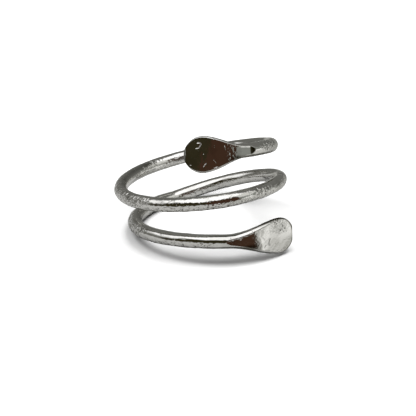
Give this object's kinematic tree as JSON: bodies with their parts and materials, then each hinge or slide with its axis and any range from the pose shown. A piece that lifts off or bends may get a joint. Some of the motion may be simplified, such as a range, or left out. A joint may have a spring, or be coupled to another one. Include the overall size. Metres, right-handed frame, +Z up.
{
  "type": "spiral wrap ring",
  "caption": "Open finger ring of round silver wire wound in a leaning spiral, with both ends hammered into flat ovals, lying as it rests.",
  "frame": {"origin": "middle of the underside of the bounding box, on the table that the ring lies on", "axes": "+Z up from the table, -Y towards the side that the picture shows, with the upper oval at the front and the lower oval at the front right"},
  "size_m": [0.0206, 0.0208, 0.0138],
  "materials": {
    "silver": "polished sterling silver, lightly scratched by wear"
  },
  "bodies": {
    "root": {"wrap_wire": "silver"}
  },
  "joints": []
}
